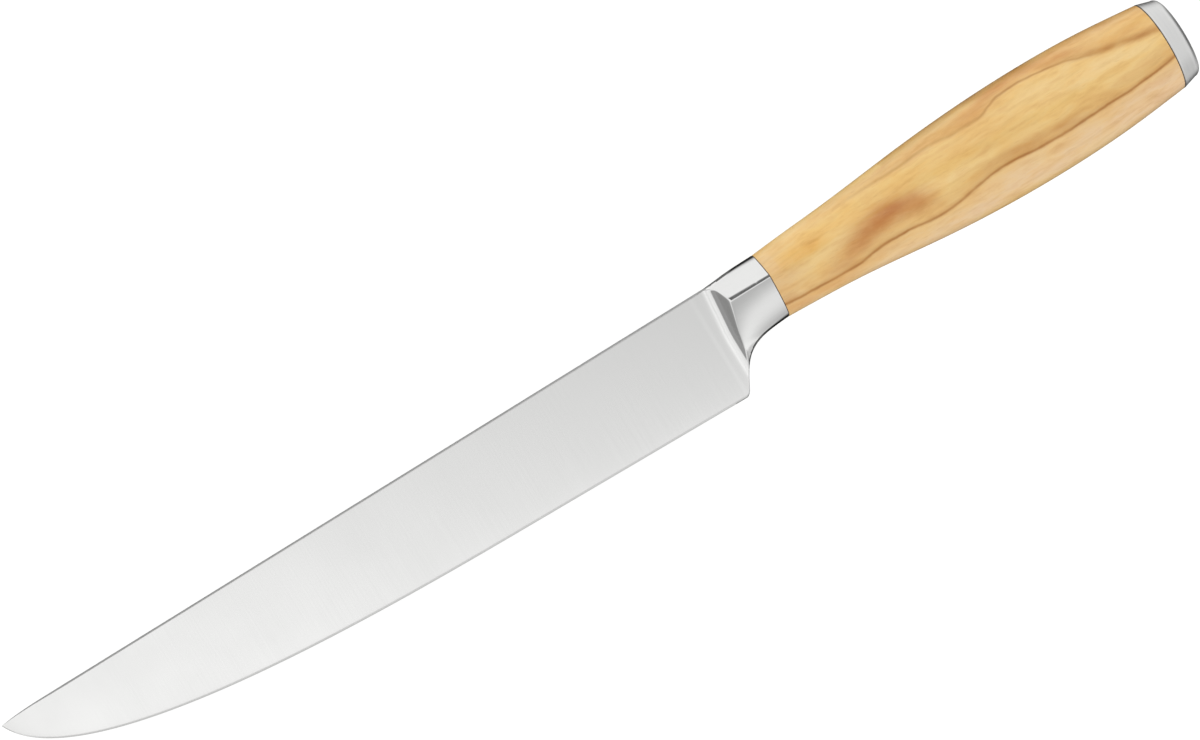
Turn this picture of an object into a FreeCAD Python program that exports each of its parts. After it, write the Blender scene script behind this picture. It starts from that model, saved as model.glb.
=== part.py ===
"""Carving knife: forged blade with half bolster, olive-wood handle, steel end cap.

Modelling frame: X runs along the tang axis from the point to the butt, Y rises to the spine, Z is
square to the blade. X = 0 is the face of the bolster that meets the handle. Every body is then placed
so that the knife lies on its side with the middle of its footprint at the origin.
"""
import FreeCAD, Part
import math
import os

import Sketcher
from FreeCAD import Vector

# Driving dimensions in millimetres
SIZES = {
    # Blade outline
    "blade_length": 195.4,
    "heel_lead": 5.6,
    "heel_depth": 20.2,
    "heel_run": 4.8,
    "heel_round": 3.0,
    "straight_edge": 66.6,
    "belly_depth": 18.7,
    "spine_rise": 8.1,
    "spine_fall": 0.4,
    "point_run": 10.0,
    "point_drop": 1.2,
    # Blade grind
    "spine_thickness": 2.3,
    "edge_land": 0.12,
    "bevel_width": 0.45,
    # Bolster
    "bolster_length": 12.8,
    "nose_lead": 0.5,
    "nose_up": 6.2,
    "nose_down": 12.2,
    "nose_half": 5.2,
    "nose_crest": 3.2,
    "step_run": 1.7,
    # Handle section at the bolster, in the palm, at the cap and at the butt
    "joint_up": 8.85,
    "joint_down": 8.6,
    "joint_half": 6.9,
    "joint_crest": 3.2,
    "palm_up": 14.25,
    "palm_down": 14.05,
    "palm_half": 10.0,
    "palm_crest": 0.6,
    "cap_up": 12.0,
    "cap_down": 11.95,
    "cap_half": 8.85,
    "cap_crest": 0.4,
    "butt_up": 10.95,
    "butt_down": 10.9,
    "butt_half": 8.05,
    "butt_crest": 0.3,
    "grip_length": 120.6,
    "cap_length": 5.4,
    "cap_round": 1.6,
    "bond_film": 0.2,
    # Tang, its resin bed and its stud
    "tang_root": 10.5,
    "tang_end": 7.0,
    "tang_thickness": 4.0,
    "resin_bed": 0.6,
    "stud_diameter": 5.0,
    "stud_span": 18.0,
    "stud_proud": 1.5,
    "stud_chamfer": 0.6,
    "stud_play": 0.15,
    "thread_play": 0.05,
    # Clamp nut and washer in the rear counterbore
    "seat_depth": 11.0,
    "seat_play": 0.4,
    "washer_diameter": 10.0,
    "washer_thickness": 1.0,
    "nut_flats": 8.0,
    "nut_height": 4.0,
    # Dowels between wood and cap
    "dowel_diameter": 3.0,
    "dowel_offset": 8.4,
    "dowel_in_wood": 8.0,
    "dowel_in_cap": 3.2,
    "dowel_play": 0.05,
    "dowel_end_play": 0.3,
    # Overrun of cuts past what they cut
    "overrun": 20.0,
}

# Places along the bolster, and how far its underside and its top have come from nose to joint there
NOSE_SHARES = [(0.0, 0.0, 0.0), (0.22, 0.54, 0.45), (0.47, 0.83, 0.80), (0.70, 0.93, 0.92), (1.0, 1.0, 1.0)]
# Places along the wood up to the palm, and how far underside, top and sides have swollen there
SWELL_SHARES = [(0.0, 0.0, 0.0, 0.0), (0.125, 0.085, 0.15, 0.1), (0.25, 0.20, 0.28, 0.23),
                (0.56, 0.685, 0.71, 0.69), (1.0, 1.0, 1.0, 1.0)]
# The palm's place along the wood, and a section behind it, with how far it has shrunk to the cap there
PALM_SHARE = 0.69
TAPER_SHARES = [(0.52, 0.27), (1.0, 1.0)]
# Pulls of the belly curve, along the edge at its start and back from the point at its end
BELLY_START_SHARE = 0.39
BELLY_LEAD_SHARE = 0.045
BELLY_PULL_SHARE = 0.74
# Pulls of the spine's drop to the point
POINT_PULL_SHARES = [(0.5, 1.0), (0.12, 0.62)]
# Where the blade's plate ends inside the bolster
PLATE_END_SHARE = 0.3
# Steps of the quarter turn that rounds the butt's rim
RIM_STEPS = 3
# A closed cubic spline of eight poles passes this far inside its poles, as a share of their distance
SECTION_POLES = 8
POLE_REACH_SHARE = 6 / (4 + 2 * math.cos(2 * math.pi / SECTION_POLES))

doc = FreeCAD.newDocument("CarvingKnife")
sheet = doc.addObject("Spreadsheet::Sheet", "Sizes")
for row, (alias, number) in enumerate(SIZES.items(), start=1):
    sheet.set(f"A{row}", alias)
    sheet.set(f"B{row}", str(number))
    sheet.setAlias(f"B{row}", alias)
doc.recompute()


def size(alias):
    """Return the expression that reads one cell of the sheet."""
    return f"Sizes.{alias}"


def between(first, last, share):
    """Return the expression of a value that has gone this share of the way from first to last."""
    return f"({first} + {share} * ({last} - {first}))"


def origin_plane(body, role):
    """Return the body's own origin plane of this role."""
    return [plane for plane in body.Origin.OriginFeatures if plane.Role == role][0]


def new_body(label):
    """Add an empty body whose label names its node."""
    body = doc.addObject("PartDesign::Body", label)
    body.Label = label
    return body


def new_sketch(body, name, role, offset="0"):
    """Add a sketch on one of the body's origin planes, shifted along the plane's normal."""
    sketch = body.newObject("Sketcher::SketchObject", name)
    sketch.AttachmentSupport = [(origin_plane(body, role), "")]
    sketch.MapMode = "FlatFace"
    sketch.setExpression("AttachmentOffset.Base.z", offset)
    return sketch


def dimension(sketch, kind, value, *where):
    """Add one dimension to a sketch, driven by an expression."""
    constraint = sketch.addConstraint(Sketcher.Constraint(kind, *where, 1.0))
    sketch.setExpression(f"Constraints[{constraint}]", value)


def pin(sketch, geometry, vertex, place):
    """Dimension a vertex from the sketch's origin."""
    dimension(sketch, "DistanceX", place[0], geometry, vertex)
    dimension(sketch, "DistanceY", place[1], geometry, vertex)


def ring_of_points(count):
    """Return points round the unit circle, the start from which the dimensions draw an outline."""
    turns = [2 * math.pi * step / count for step in range(count)]
    return [Vector(math.cos(turn), math.sin(turn), 0) for turn in turns]


def draw_loop(sketch, spans):
    """Close spans into a loop: two places make a straight span, four a cubic with two pulls."""
    start_points = ring_of_points(sum(len(span) - 1 for span in spans))
    used = 0
    drawn = []
    for span in spans:
        places = [start_points[(used + step) % len(start_points)] for step in range(len(span))]
        used += len(span) - 1
        if len(span) == 2:
            geometry = sketch.addGeometry(Part.LineSegment(*places))
            pin(sketch, geometry, 1, span[0])
        else:
            curve = Part.BSplineCurve()
            curve.buildFromPolesMultsKnots(places, [4, 4], [0, 1], False, 3)
            geometry = sketch.addGeometry(curve)
            sketch.exposeInternalGeometry(geometry)
            for pole in range(3):
                pin(sketch, geometry + 1 + pole, 3, span[pole])
        drawn.append(geometry)
    for here, following in zip(drawn, drawn[1:] + drawn[:1]):
        sketch.addConstraint(Sketcher.Constraint("Coincident", here, 2, following, 1))


def draw_polygon(sketch, corners):
    """Draw a closed loop of straight spans."""
    draw_loop(sketch, [list(pair) for pair in zip(corners, corners[1:] + corners[:1])])


def draw_circle(sketch, diameter, centre=("0", "0")):
    """Draw a circle of this diameter."""
    geometry = sketch.addGeometry(Part.Circle(Vector(0, 0, 0), Vector(0, 0, 1), 1.0))
    pin(sketch, geometry, 3, centre)
    dimension(sketch, "Diameter", diameter, geometry)


def draw_section(sketch, section):
    """Draw an egg-shaped section: a smooth closed curve, widest at its crest."""
    curve = Part.BSplineCurve()
    knots = list(range(SECTION_POLES + 1))
    curve.buildFromPolesMultsKnots(ring_of_points(SECTION_POLES), [1] * len(knots), knots, True, 3)
    geometry = sketch.addGeometry(curve)
    sketch.exposeInternalGeometry(geometry)
    for pole in range(SECTION_POLES):
        turn = 2 * math.pi * pole / SECTION_POLES
        rise_share = POLE_REACH_SHARE * math.sin(turn)
        side_share = POLE_REACH_SHARE * math.cos(turn)
        if rise_share > 0:
            reach = f"({section['up']} - {section['crest']})"
        else:
            reach = f"({section['down']} + {section['crest']})"
        rise = f"{section['crest']} + {rise_share:.6f} * {reach}"
        pin(sketch, geometry + 1 + pole, 3, (rise, f"{side_share:.6f} * {section['half']}"))


def named_section(name):
    """Return the expressions of a section whose four sizes stand in the sheet."""
    return {part: size(f"{name}_{part}") for part in ("up", "down", "half", "crest")}


def mixed_section(first, last, under, top, side):
    """Return a section whose underside, top and sides lie these shares of the way between two others."""
    shares = {"up": top, "down": under, "half": side, "crest": side}
    here = named_section(first)
    there = named_section(last)
    return {part: between(here[part], there[part], share) for part, share in shares.items()}


def loft(body, name, stations):
    """Loft through sections, each given with the expression of its place along X."""
    sketches = []
    for number, (place, section) in enumerate(stations):
        sketch = new_sketch(body, f"{name}_section_{number}", "YZ_Plane", place)
        draw_section(sketch, section)
        sketches.append(sketch)
    feature = body.newObject("PartDesign::AdditiveLoft", name)
    feature.Profile = sketches[0]
    feature.Sections = sketches[1:]
    doc.recompute()
    return feature


def pad(body, name, sketch, length, symmetric=False):
    """Pad a sketch along its normal, or half to each side of it."""
    feature = body.newObject("PartDesign::Pad", name)
    feature.Profile = sketch
    feature.setExpression("Length", length)
    if symmetric:
        feature.SideType = "Symmetric"
    doc.recompute()
    return feature


def pocket(body, name, sketch, length, toward_butt=False, symmetric=False, slant=None):
    """Cut a sketch out against its normal, along it, half to each side, or up a slant in Y and Z."""
    before = body.Shape.Volume
    feature = body.newObject("PartDesign::Pocket", name)
    feature.Profile = sketch
    feature.setExpression("Length", length)
    feature.Reversed = toward_butt
    if symmetric:
        feature.SideType = "Symmetric"
    if slant:
        feature.UseCustomVector = True
        feature.Direction = Vector(0, 1, 1)
        feature.setExpression("Direction.z", slant)
        feature.AlongSketchNormal = True
    doc.recompute()
    if not feature.Shape.Volume < before:
        raise RuntimeError(f"{body.Label}: {name} cuts nothing")
    return feature


def break_edge(body, kind, name, base, place, measure, value):
    """Round or chamfer the edge of the base whose centre lies nearest to a place."""
    distances = [edge.CenterOfMass.distanceToPoint(place) for edge in base.Shape.Edges]
    feature = body.newObject(kind, name)
    feature.Base = (base, [f"Edge{distances.index(min(distances)) + 1}"])
    feature.setExpression(measure, value)
    doc.recompute()


# Places that several pieces share
HEEL_X = f"-({size('bolster_length')} + {size('heel_lead')})"
POINT_X = f"({HEEL_X} - {size('blade_length')})"
POINT_Y = f"({size('spine_rise')} - {size('spine_fall')} - {size('point_drop')})"
BLADE_HEIGHT = f"({size('spine_rise')} + {size('heel_depth')})"
EDGE_SLOPE = f"(({size('heel_depth')} - {size('belly_depth')}) / {size('straight_edge')})"
GRIND_SLOPE = f"(({size('spine_thickness')} / 2 - {size('edge_land')}) / {BLADE_HEIGHT})"
PLATE_END = f"-{PLATE_END_SHARE} * {size('bolster_length')}"
CAP_FRONT = f"({size('grip_length')} - {size('cap_length')})"
WOOD_END = f"({CAP_FRONT} - {size('bond_film')})"
SEAT_DIAMETER = f"({size('washer_diameter')} + 2 * {size('seat_play')})"
SEAT_FACE = f"({WOOD_END} - {size('seat_depth')})"
TANG_END = f"({SEAT_FACE} - {size('stud_span')})"
SLOT_HEIGHT = f"({size('tang_root')} + 2 * {size('resin_bed')})"
SLOT_THICKNESS = f"({size('tang_thickness')} + 2 * {size('resin_bed')})"
SLOT_END = f"({TANG_END} + {size('resin_bed')})"
NUT_FACE = f"({SEAT_FACE} + {size('washer_thickness')})"
STUD_END = f"({NUT_FACE} + {size('nut_height')} + {size('stud_proud')})"
STUD_BORE = f"({size('stud_diameter')} + 2 * {size('stud_play')})"
DOWEL_BORE = f"({size('dowel_diameter')} + 2 * {size('dowel_play')})"
DOWEL_CENTRES = [(size("dowel_offset"), "0"), (f"-{size('dowel_offset')}", "0")]


def belly_span():
    """Return the curved span of the edge, from the point back to where the edge runs straight."""
    start = (f"({HEEL_X} - {size('straight_edge')})", f"-{size('belly_depth')}")
    start_pull = f"{BELLY_START_SHARE} * ({size('blade_length')} - {size('straight_edge')})"
    point_lead = f"{BELLY_LEAD_SHARE} * {size('blade_length')}"
    point_pull = f"{BELLY_PULL_SHARE} * {BLADE_HEIGHT}"
    return [
        (POINT_X, POINT_Y),
        (f"{POINT_X} + {point_lead}", f"{POINT_Y} - {point_pull}"),
        (f"{start[0]} - {start_pull}", f"{start[1]} + {EDGE_SLOPE} * {start_pull}"),
        start,
    ]


def slot_corners(height, thickness):
    """Return the corners of a rectangle about the tang axis, in Y and Z."""
    signs = [(-1, -1), (1, -1), (1, 1), (-1, 1)]
    return [(f"{rise} * {height} / 2", f"{side} * {thickness} / 2") for rise, side in signs]


def tang_corners(front):
    """Return the tang's outline in X and Y, from this place to its end."""
    root = f"{size('tang_root')} / 2"
    end = f"{size('tang_end')} / 2"
    return [(front, f"-{root}"), ("0", f"-{root}"), (TANG_END, f"-{end}"),
            (TANG_END, end), ("0", root), (front, root)]


def make_blade():
    """Forge blade, half bolster and flat tang in one piece."""
    body = new_body("blade")
    nose_x = f"-({size('bolster_length')} + {size('nose_lead')})"
    stations = [(between(nose_x, "0", along), mixed_section("nose", "joint", under, top, along))
                for along, under, top in NOSE_SHARES]
    loft(body, "bolster", stations)

    # The bolster's front steps down to the blade on a slant, on both sides
    step = new_sketch(body, "step_path", "XZ_Plane")
    half = f"({size('spine_thickness')} / 2)"
    foot = f"-{size('bolster_length')}"
    top = f"({size('joint_half')} + {size('overrun')})"
    lean = f"({size('step_run')} / ({size('nose_half')} - {half}))"
    front = f"{foot} - {size('overrun')}"
    brow = f"{foot} + {lean} * ({top} - {half})"
    for side in (1, -1):
        inner = f"{side} * {half}"
        outer = f"{side} * {top}"
        draw_polygon(step, [(foot, inner), (brow, outer), (front, outer), (front, inner)])
    pocket(body, "step", step, f"2 * ({BLADE_HEIGHT} + {size('overrun')})", symmetric=True)

    # The blade's plate, before grinding
    point_back = f"({POINT_X} + {size('point_run')})"
    spine_front = f"({size('spine_rise')} - {size('spine_fall')})"
    point_span = [(point_back, spine_front)]
    for along, up in POINT_PULL_SHARES:
        pull = (f"{POINT_X} + {along} * {size('point_run')}", f"{POINT_Y} + {up} * {size('point_drop')}")
        point_span.append(pull)
    point_span.append((POINT_X, POINT_Y))
    belly = belly_span()
    heel = (HEEL_X, f"-{size('heel_depth')}")
    choil = (f"{HEEL_X} + {size('heel_run')}", f"-{size('nose_down')}")
    inner_low = (PLATE_END, f"-{size('tang_root')} / 2")
    inner_top = (PLATE_END, size("spine_rise"))
    outline = new_sketch(body, "blade_outline", "XY_Plane")
    draw_loop(outline, [belly, [belly[-1], heel], [heel, choil], [choil, inner_low], [inner_low, inner_top],
                        [inner_top, point_span[0]], point_span])
    plate = pad(body, "plate", outline, size("spine_thickness"), symmetric=True)
    corner = Vector(-(sheet.bolster_length + sheet.heel_lead), -sheet.heel_depth, 0)
    break_edge(body, "PartDesign::Fillet", "heel", plate, corner, "Radius", size("heel_round"))

    # Both sides are ground from the spine to a thin land, and the land to the cutting edge
    edge_back = (foot, f"{heel[1]} - {EDGE_SLOPE} * {size('heel_lead')}")
    low = f"{heel[1]} - {BLADE_HEIGHT} - {size('overrun')}"
    ahead = f"{POINT_X} - {size('overrun')}"
    waste_corners = [belly[-1], edge_back, (foot, low), (ahead, low), (ahead, POINT_Y), belly[0]]
    waste = [belly] + [list(pair) for pair in zip(waste_corners, waste_corners[1:])]
    bevel_slope = f"{GRIND_SLOPE} + {size('edge_land')} / {size('bevel_width')}"
    passes = {"side_grind": (size("edge_land"), GRIND_SLOPE), "edge_bevel": ("0", bevel_slope)}
    grinds = []
    for name, (height, slope) in passes.items():
        path = new_sketch(body, f"{name}_path", "XY_Plane", height)
        draw_loop(path, waste)
        grinds.append(pocket(body, name, path, size("spine_thickness"), slant=slope))
    other_side = body.newObject("PartDesign::Mirrored", "other_side")
    other_side.Originals = grinds
    other_side.MirrorPlane = (origin_plane(body, "XY_Plane"), [""])
    body.Tip = other_side
    doc.recompute()

    tang = new_sketch(body, "tang_outline", "XY_Plane")
    draw_polygon(tang, tang_corners(PLATE_END))
    pad(body, "tang", tang, size("tang_thickness"), symmetric=True)
    return body


def make_tang_stud():
    """Threaded stud, welded end to end with the tang."""
    body = new_body("tang_stud")
    circle = new_sketch(body, "stud_circle", "YZ_Plane", TANG_END)
    draw_circle(circle, size("stud_diameter"))
    stud = pad(body, "stud", circle, f"{STUD_END} - {TANG_END}")
    tail = Vector(stud.Shape.BoundBox.XMax, 0, 0)
    break_edge(body, "PartDesign::Chamfer", "stud_lead", stud, tail, "Size", size("stud_chamfer"))
    return body


def make_tang_bedding():
    """Cured resin that fills the handle's slot round the tang."""
    body = new_body("tang_bedding")
    slot = new_sketch(body, "slot_outline", "YZ_Plane")
    draw_polygon(slot, slot_corners(SLOT_HEIGHT, SLOT_THICKNESS))
    pad(body, "filling", slot, SLOT_END)
    room = new_sketch(body, "tang_room", "XY_Plane")
    draw_polygon(room, tang_corners(f"-{size('overrun')}"))
    pocket(body, "tang_space", room, size("tang_thickness"), symmetric=True)
    hole = new_sketch(body, "stud_hole", "YZ_Plane", SLOT_END)
    draw_circle(hole, STUD_BORE)
    pocket(body, "stud_space", hole, size("resin_bed"))
    return body


def make_front_bond_line():
    """Adhesive film between bolster and wood."""
    body = new_body("front_bond_line")
    outline = new_sketch(body, "film_outline", "YZ_Plane")
    draw_section(outline, named_section("joint"))
    pad(body, "film", outline, size("bond_film"))
    slot = new_sketch(body, "slot_outline", "YZ_Plane", size("bond_film"))
    draw_polygon(slot, slot_corners(SLOT_HEIGHT, SLOT_THICKNESS))
    pocket(body, "slot", slot, size("bond_film"))
    return body


def make_handle():
    """One piece of wood, slotted for the tang in front and counterbored for the nut behind."""
    body = new_body("handle")
    palm_x = between(size("bond_film"), WOOD_END, PALM_SHARE)
    stations = [(between(size("bond_film"), palm_x, along), mixed_section("joint", "palm", under, top, side))
                for along, under, top, side in SWELL_SHARES]
    stations += [(between(palm_x, WOOD_END, along), mixed_section("palm", "cap", taper, taper, taper))
                 for along, taper in TAPER_SHARES]
    loft(body, "wood", stations)
    slot = new_sketch(body, "slot_outline", "YZ_Plane", size("bond_film"))
    draw_polygon(slot, slot_corners(SLOT_HEIGHT, SLOT_THICKNESS))
    pocket(body, "slot", slot, f"{SLOT_END} - {size('bond_film')}", toward_butt=True)
    bore = new_sketch(body, "stud_bore", "YZ_Plane", WOOD_END)
    draw_circle(bore, STUD_BORE)
    pocket(body, "stud_way", bore, f"{WOOD_END} - {SLOT_END}")
    seat = new_sketch(body, "seat_circle", "YZ_Plane", WOOD_END)
    draw_circle(seat, SEAT_DIAMETER)
    pocket(body, "seat", seat, size("seat_depth"))
    holes = new_sketch(body, "dowel_circles", "YZ_Plane", WOOD_END)
    for centre in DOWEL_CENTRES:
        draw_circle(holes, DOWEL_BORE, centre)
    pocket(body, "dowel_holes", holes, size("dowel_in_wood"))
    return body


def make_clamp_washer():
    """Washer on the end grain at the bottom of the counterbore."""
    body = new_body("clamp_washer")
    ring = new_sketch(body, "ring", "YZ_Plane", SEAT_FACE)
    draw_circle(ring, size("washer_diameter"))
    draw_circle(ring, STUD_BORE)
    pad(body, "washer", ring, size("washer_thickness"))
    return body


def make_clamp_nut():
    """Hexagon nut that draws the wood against the bolster."""
    body = new_body("clamp_nut")
    hexagon = new_sketch(body, "hexagon", "YZ_Plane", NUT_FACE)
    sides = 6
    corner_share = 0.5 / math.cos(math.pi / sides)
    corners = []
    for corner in range(sides):
        turn = 2 * math.pi * corner / sides
        corners.append((f"{corner_share * math.cos(turn):.6f} * {size('nut_flats')}",
                        f"{corner_share * math.sin(turn):.6f} * {size('nut_flats')}"))
    draw_polygon(hexagon, corners)
    draw_circle(hexagon, f"{size('stud_diameter')} + 2 * {size('thread_play')}")
    pad(body, "nut", hexagon, size("nut_height"))
    return body


def make_rear_bond_line():
    """Adhesive film between wood and cap."""
    body = new_body("rear_bond_line")
    outline = new_sketch(body, "film_outline", "YZ_Plane", WOOD_END)
    draw_section(outline, named_section("cap"))
    pad(body, "film", outline, size("bond_film"))
    holes = new_sketch(body, "hole_circles", "YZ_Plane", CAP_FRONT)
    draw_circle(holes, SEAT_DIAMETER)
    for centre in DOWEL_CENTRES:
        draw_circle(holes, DOWEL_BORE, centre)
    pocket(body, "holes", holes, size("bond_film"))
    return body


def make_end_cap():
    """Steel cap that closes the butt."""
    body = new_body("end_cap")
    butt = named_section("butt")
    shoulder = f"({size('grip_length')} - {size('cap_round')})"
    loft(body, "cap", [(CAP_FRONT, named_section("cap")), (shoulder, butt)])
    rim = []
    for step in range(RIM_STEPS + 1):
        turn = math.pi / 2 * step / RIM_STEPS
        inset = f"{1 - math.cos(turn):.6f} * {size('cap_round')}"
        section = {part: f"({butt[part]} - {inset})" for part in ("up", "down", "half")}
        section["crest"] = butt["crest"]
        rim.append((f"{shoulder} + {math.sin(turn):.6f} * {size('cap_round')}", section))
    loft(body, "butt_rim", rim)
    holes = new_sketch(body, "dowel_circles", "YZ_Plane", CAP_FRONT)
    for centre in DOWEL_CENTRES:
        draw_circle(holes, DOWEL_BORE, centre)
    pocket(body, "dowel_holes", holes, size("dowel_in_cap"), toward_butt=True)
    return body


def make_cap_dowels():
    """Two pins that locate the cap on the wood."""
    body = new_body("cap_dowels")
    body.AllowCompound = True
    circles = new_sketch(body, "pin_circles", "YZ_Plane",
                         f"{WOOD_END} - {size('dowel_in_wood')} + {size('dowel_end_play')}")
    for centre in DOWEL_CENTRES:
        draw_circle(circles, size("dowel_diameter"), centre)
    depth = f"{size('dowel_in_wood')} + {size('bond_film')} + {size('dowel_in_cap')}"
    pad(body, "pins", circles, f"{depth} - 2 * {size('dowel_end_play')}")
    return body


bodies = [make_blade(), make_tang_stud(), make_tang_bedding(), make_front_bond_line(), make_handle(),
          make_clamp_washer(), make_clamp_nut(), make_rear_bond_line(), make_end_cap(), make_cap_dowels()]

# The knife lies on its side, with the middle of its footprint at the origin
for body in bodies:
    body.setExpression("Placement.Base.x", f"-({POINT_X} + {size('grip_length')}) / 2")
    body.setExpression("Placement.Base.y", f"({size('heel_depth')} - {size('palm_up')}) / 2")
    body.setExpression("Placement.Base.z", size("palm_half"))
doc.recompute()

for item in doc.Objects:
    if "Invalid" in item.State or "Error" in item.State:
        raise RuntimeError(f"{item.Label} failed: {item.State}")
for body in bodies:
    if body.Shape.isNull() or not body.Shape.isValid():
        raise RuntimeError(f"{body.Label} has no valid shape")

os.makedirs("parts", exist_ok=True)
for body in bodies:
    body.Shape.exportStep(f"parts/{body.Label}.step")
    print(f"{body.Label}: {len(body.Shape.Solids)} solid, {body.Shape.Volume:.1f} mm3")
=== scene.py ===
"""Carving knife: the smooth outside of its pieces, their finishes, the floor, the light and the camera."""
import math

import bpy
import numpy as np
from bpy.props import FloatProperty, FloatVectorProperty, PointerProperty
from mathutils import Matrix, Vector


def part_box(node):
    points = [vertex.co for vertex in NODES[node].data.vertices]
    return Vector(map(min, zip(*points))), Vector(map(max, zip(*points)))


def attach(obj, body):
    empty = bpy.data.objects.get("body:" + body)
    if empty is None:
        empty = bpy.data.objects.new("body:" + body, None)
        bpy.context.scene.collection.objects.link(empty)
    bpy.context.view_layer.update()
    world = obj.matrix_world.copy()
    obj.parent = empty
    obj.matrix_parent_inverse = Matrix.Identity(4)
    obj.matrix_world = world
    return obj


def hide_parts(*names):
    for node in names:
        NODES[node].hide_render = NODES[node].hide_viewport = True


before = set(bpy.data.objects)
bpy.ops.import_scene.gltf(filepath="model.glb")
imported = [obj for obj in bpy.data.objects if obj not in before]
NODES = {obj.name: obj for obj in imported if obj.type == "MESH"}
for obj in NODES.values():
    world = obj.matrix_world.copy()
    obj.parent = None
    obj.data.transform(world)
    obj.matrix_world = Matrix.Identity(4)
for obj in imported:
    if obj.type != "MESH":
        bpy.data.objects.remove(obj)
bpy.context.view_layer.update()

bl_info = {
    "name": "Carving Knife",
    "version": (1, 0, 0),
    "blender": (4, 5, 0),
    "location": "View3D > Sidebar > Knife",
    "description": "Builds a carving knife with an olive-wood handle round its packed frame",
    "category": "Add Mesh",
}

MM = 0.001

# The pieces' own frame: on the tang axis where bolster and handle meet, X to the butt, Y to the spine
STUD_LOW, STUD_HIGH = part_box("tang_stud")
JOINT = Vector((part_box("front_bond_line")[0].x,
                (STUD_LOW.y + STUD_HIGH.y) / 2, (STUD_LOW.z + STUD_HIGH.z) / 2))
TANG_END = STUD_LOW.x - JOINT.x
WOOD_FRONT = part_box("handle")[0].x - JOINT.x
WOOD_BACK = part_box("handle")[1].x - JOINT.x
CAP_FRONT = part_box("end_cap")[0].x - JOINT.x
CAP_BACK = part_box("end_cap")[1].x - JOINT.x
BED_LOW, BED_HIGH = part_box("tang_bedding")
BED_HALF = np.array([BED_HIGH.y - BED_LOW.y, BED_HIGH.z - BED_LOW.z]) / 2

# Stations along the drop to the point, the blade, heel and step, and the bolster
POINT_STATIONS, BLADE_STATIONS, STEP_STATIONS, BOLSTER_STATIONS = 36, 150, 120, 36
# Root of the first station's share of that drop, and how far close stations reach past heel and step
POINT_START = 0.03
STEP_MARGIN = 4 * MM
# Lines from edge to spine in bevel, face and spine round, and the one that becomes the bolster's crest
BEVEL_LINES, FACE_LINES, ROUND_LINES, CREST_LINE = 5, 76, 9, 58
# Stations along the wood, in a broken edge, along the cap and round its rim, and rings on the butt
WOOD_STATIONS, BREAK_STATIONS, CAP_STATIONS, RIM_STATIONS, BUTT_RINGS = 140, 4, 10, 13, 6
# Corners of an egg-shaped section and of the floor
LOOP, FLOOR_CORNERS = 128, 64
SHARP_EDGE = math.radians(32)

# The bolster's underside from heel to handle, along X and Y in millimetres
CHOIL_LINE = ((-17.3, -18.3), (-15.4, -15.0), (-13.9, -12.95), (-12.4, -11.5), (-10.4, -10.27),
              (-8.4, -9.54), (-5.0, -8.96), (0.0, -8.6))
# Places along the bolster, and how far its top has come there from nose to handle
BOLSTER_TOP_SHARES = ((0.0, 0.0), (0.22, 0.45), (0.47, 0.80), (0.70, 0.92), (1.0, 1.0))
# Pulls on the edge's curve: along it at the belly, and along and down at the point
BELLY_PULL, POINT_PULL = 0.39, (0.045, 0.74)
# Pulls on the spine's drop: along it at its start, and along and up at the point
DROP_PULL, DROP_END_PULL = 0.5, (0.12, 0.45)
BELLY_POINTS, DROP_POINTS = 400, 80
# The plate: the power of its convex wedge, its least half thickness, and the slack in its bevel's slope
WEDGE_POWER = 0.75
THINNEST = 0.01 * MM
BEVEL_SLACK = 0.04
# The most that bevel and spine round take of its height, and the spine round of its thickness
HEIGHT_SHARE, THICKNESS_SHARE = 0.03, 0.8
# Where the bevel turns into the eased heel, round the heel, and where the plate ends inside the bolster
HEEL_TURN = np.array((-1.2, 0.3)) * MM
PLATE_END = np.array((-9, -3)) * MM
# The bolster's nose: how steeply its top sinks into the spine ahead of the step, and how softly they meet
NOSE_SINK = 0.3
NOSE_BLEND = 0.5 * MM
# Where the lines from edge to spine turn round it, and how softly its flanks meet the plate along it
LINES_TURN = np.array((-3, 2)) * MM
NOSE_FADE, JOINT_FADE, FADE_SHARE = 0.8 * MM, 0.05 * MM, 0.7
# The step: how softly its lean begins, and how sharply it meets the bulge
LEAN_ROUND = 0.2 * MM
STEP_SHARPNESS = 16
NEXT_TO_NOTHING = 1e-6
# How a ridged section falls from crest to rims: slant and bow of each side, as shares of its half width
RIDGE_TOP = (0.64, 0.16)
RIDGE_UNDER = (0.32, 0.30)
NOSE_UNDER = (0.38, 0.42)
RIM_POWER = 12
# The tang: the resin's wall round it, and how far it tapers
RESIN_WALL = 0.6 * MM
TANG_TAPER = 2 / 3
# The blade's finishes: the hollow's slope where polish begins, where the upper rim of painted shade comes
# in at the step, and where the honed bevel ends ahead of the heel
GROUND, POLISHED, EASED_SHADED, RIM, HONED = range(5)
POLISH_SLOPE = math.radians(30)
RIM_TURN = np.array((-3.5, 4.5)) * MM
HONED_END = -4 * MM

# Places along the wood up to the palm and behind it, and how far underside, top and sides swell there
SWELL_SHARES = ((0.0, 0.0, 0.0, 0.0), (0.125, 0.085, 0.15, 0.1), (0.25, 0.20, 0.28, 0.23),
                (0.56, 0.685, 0.71, 0.69), (1.0, 1.0, 1.0, 1.0))
TAPER_SHARES = ((0.52, 0.27), (1.0, 1.0))
PALM_SHARE = 0.69
# Play round washer and stud, and how far the adhesive films stay inside the outline
WASHER_PLAY, STUD_PLAY, FILM_INSET = 0.4 * MM, 0.15 * MM, 0.08 * MM

# Where most values of a noise pattern lie, how deep fine lines are, and how a smooth fade is drawn
NOISE_SPREAD = (0.3, 0.7)
LINE_DEPTH = 0.05 * MM
SMOOTH = {"interpolation_type": "SMOOTHSTEP"}
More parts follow.
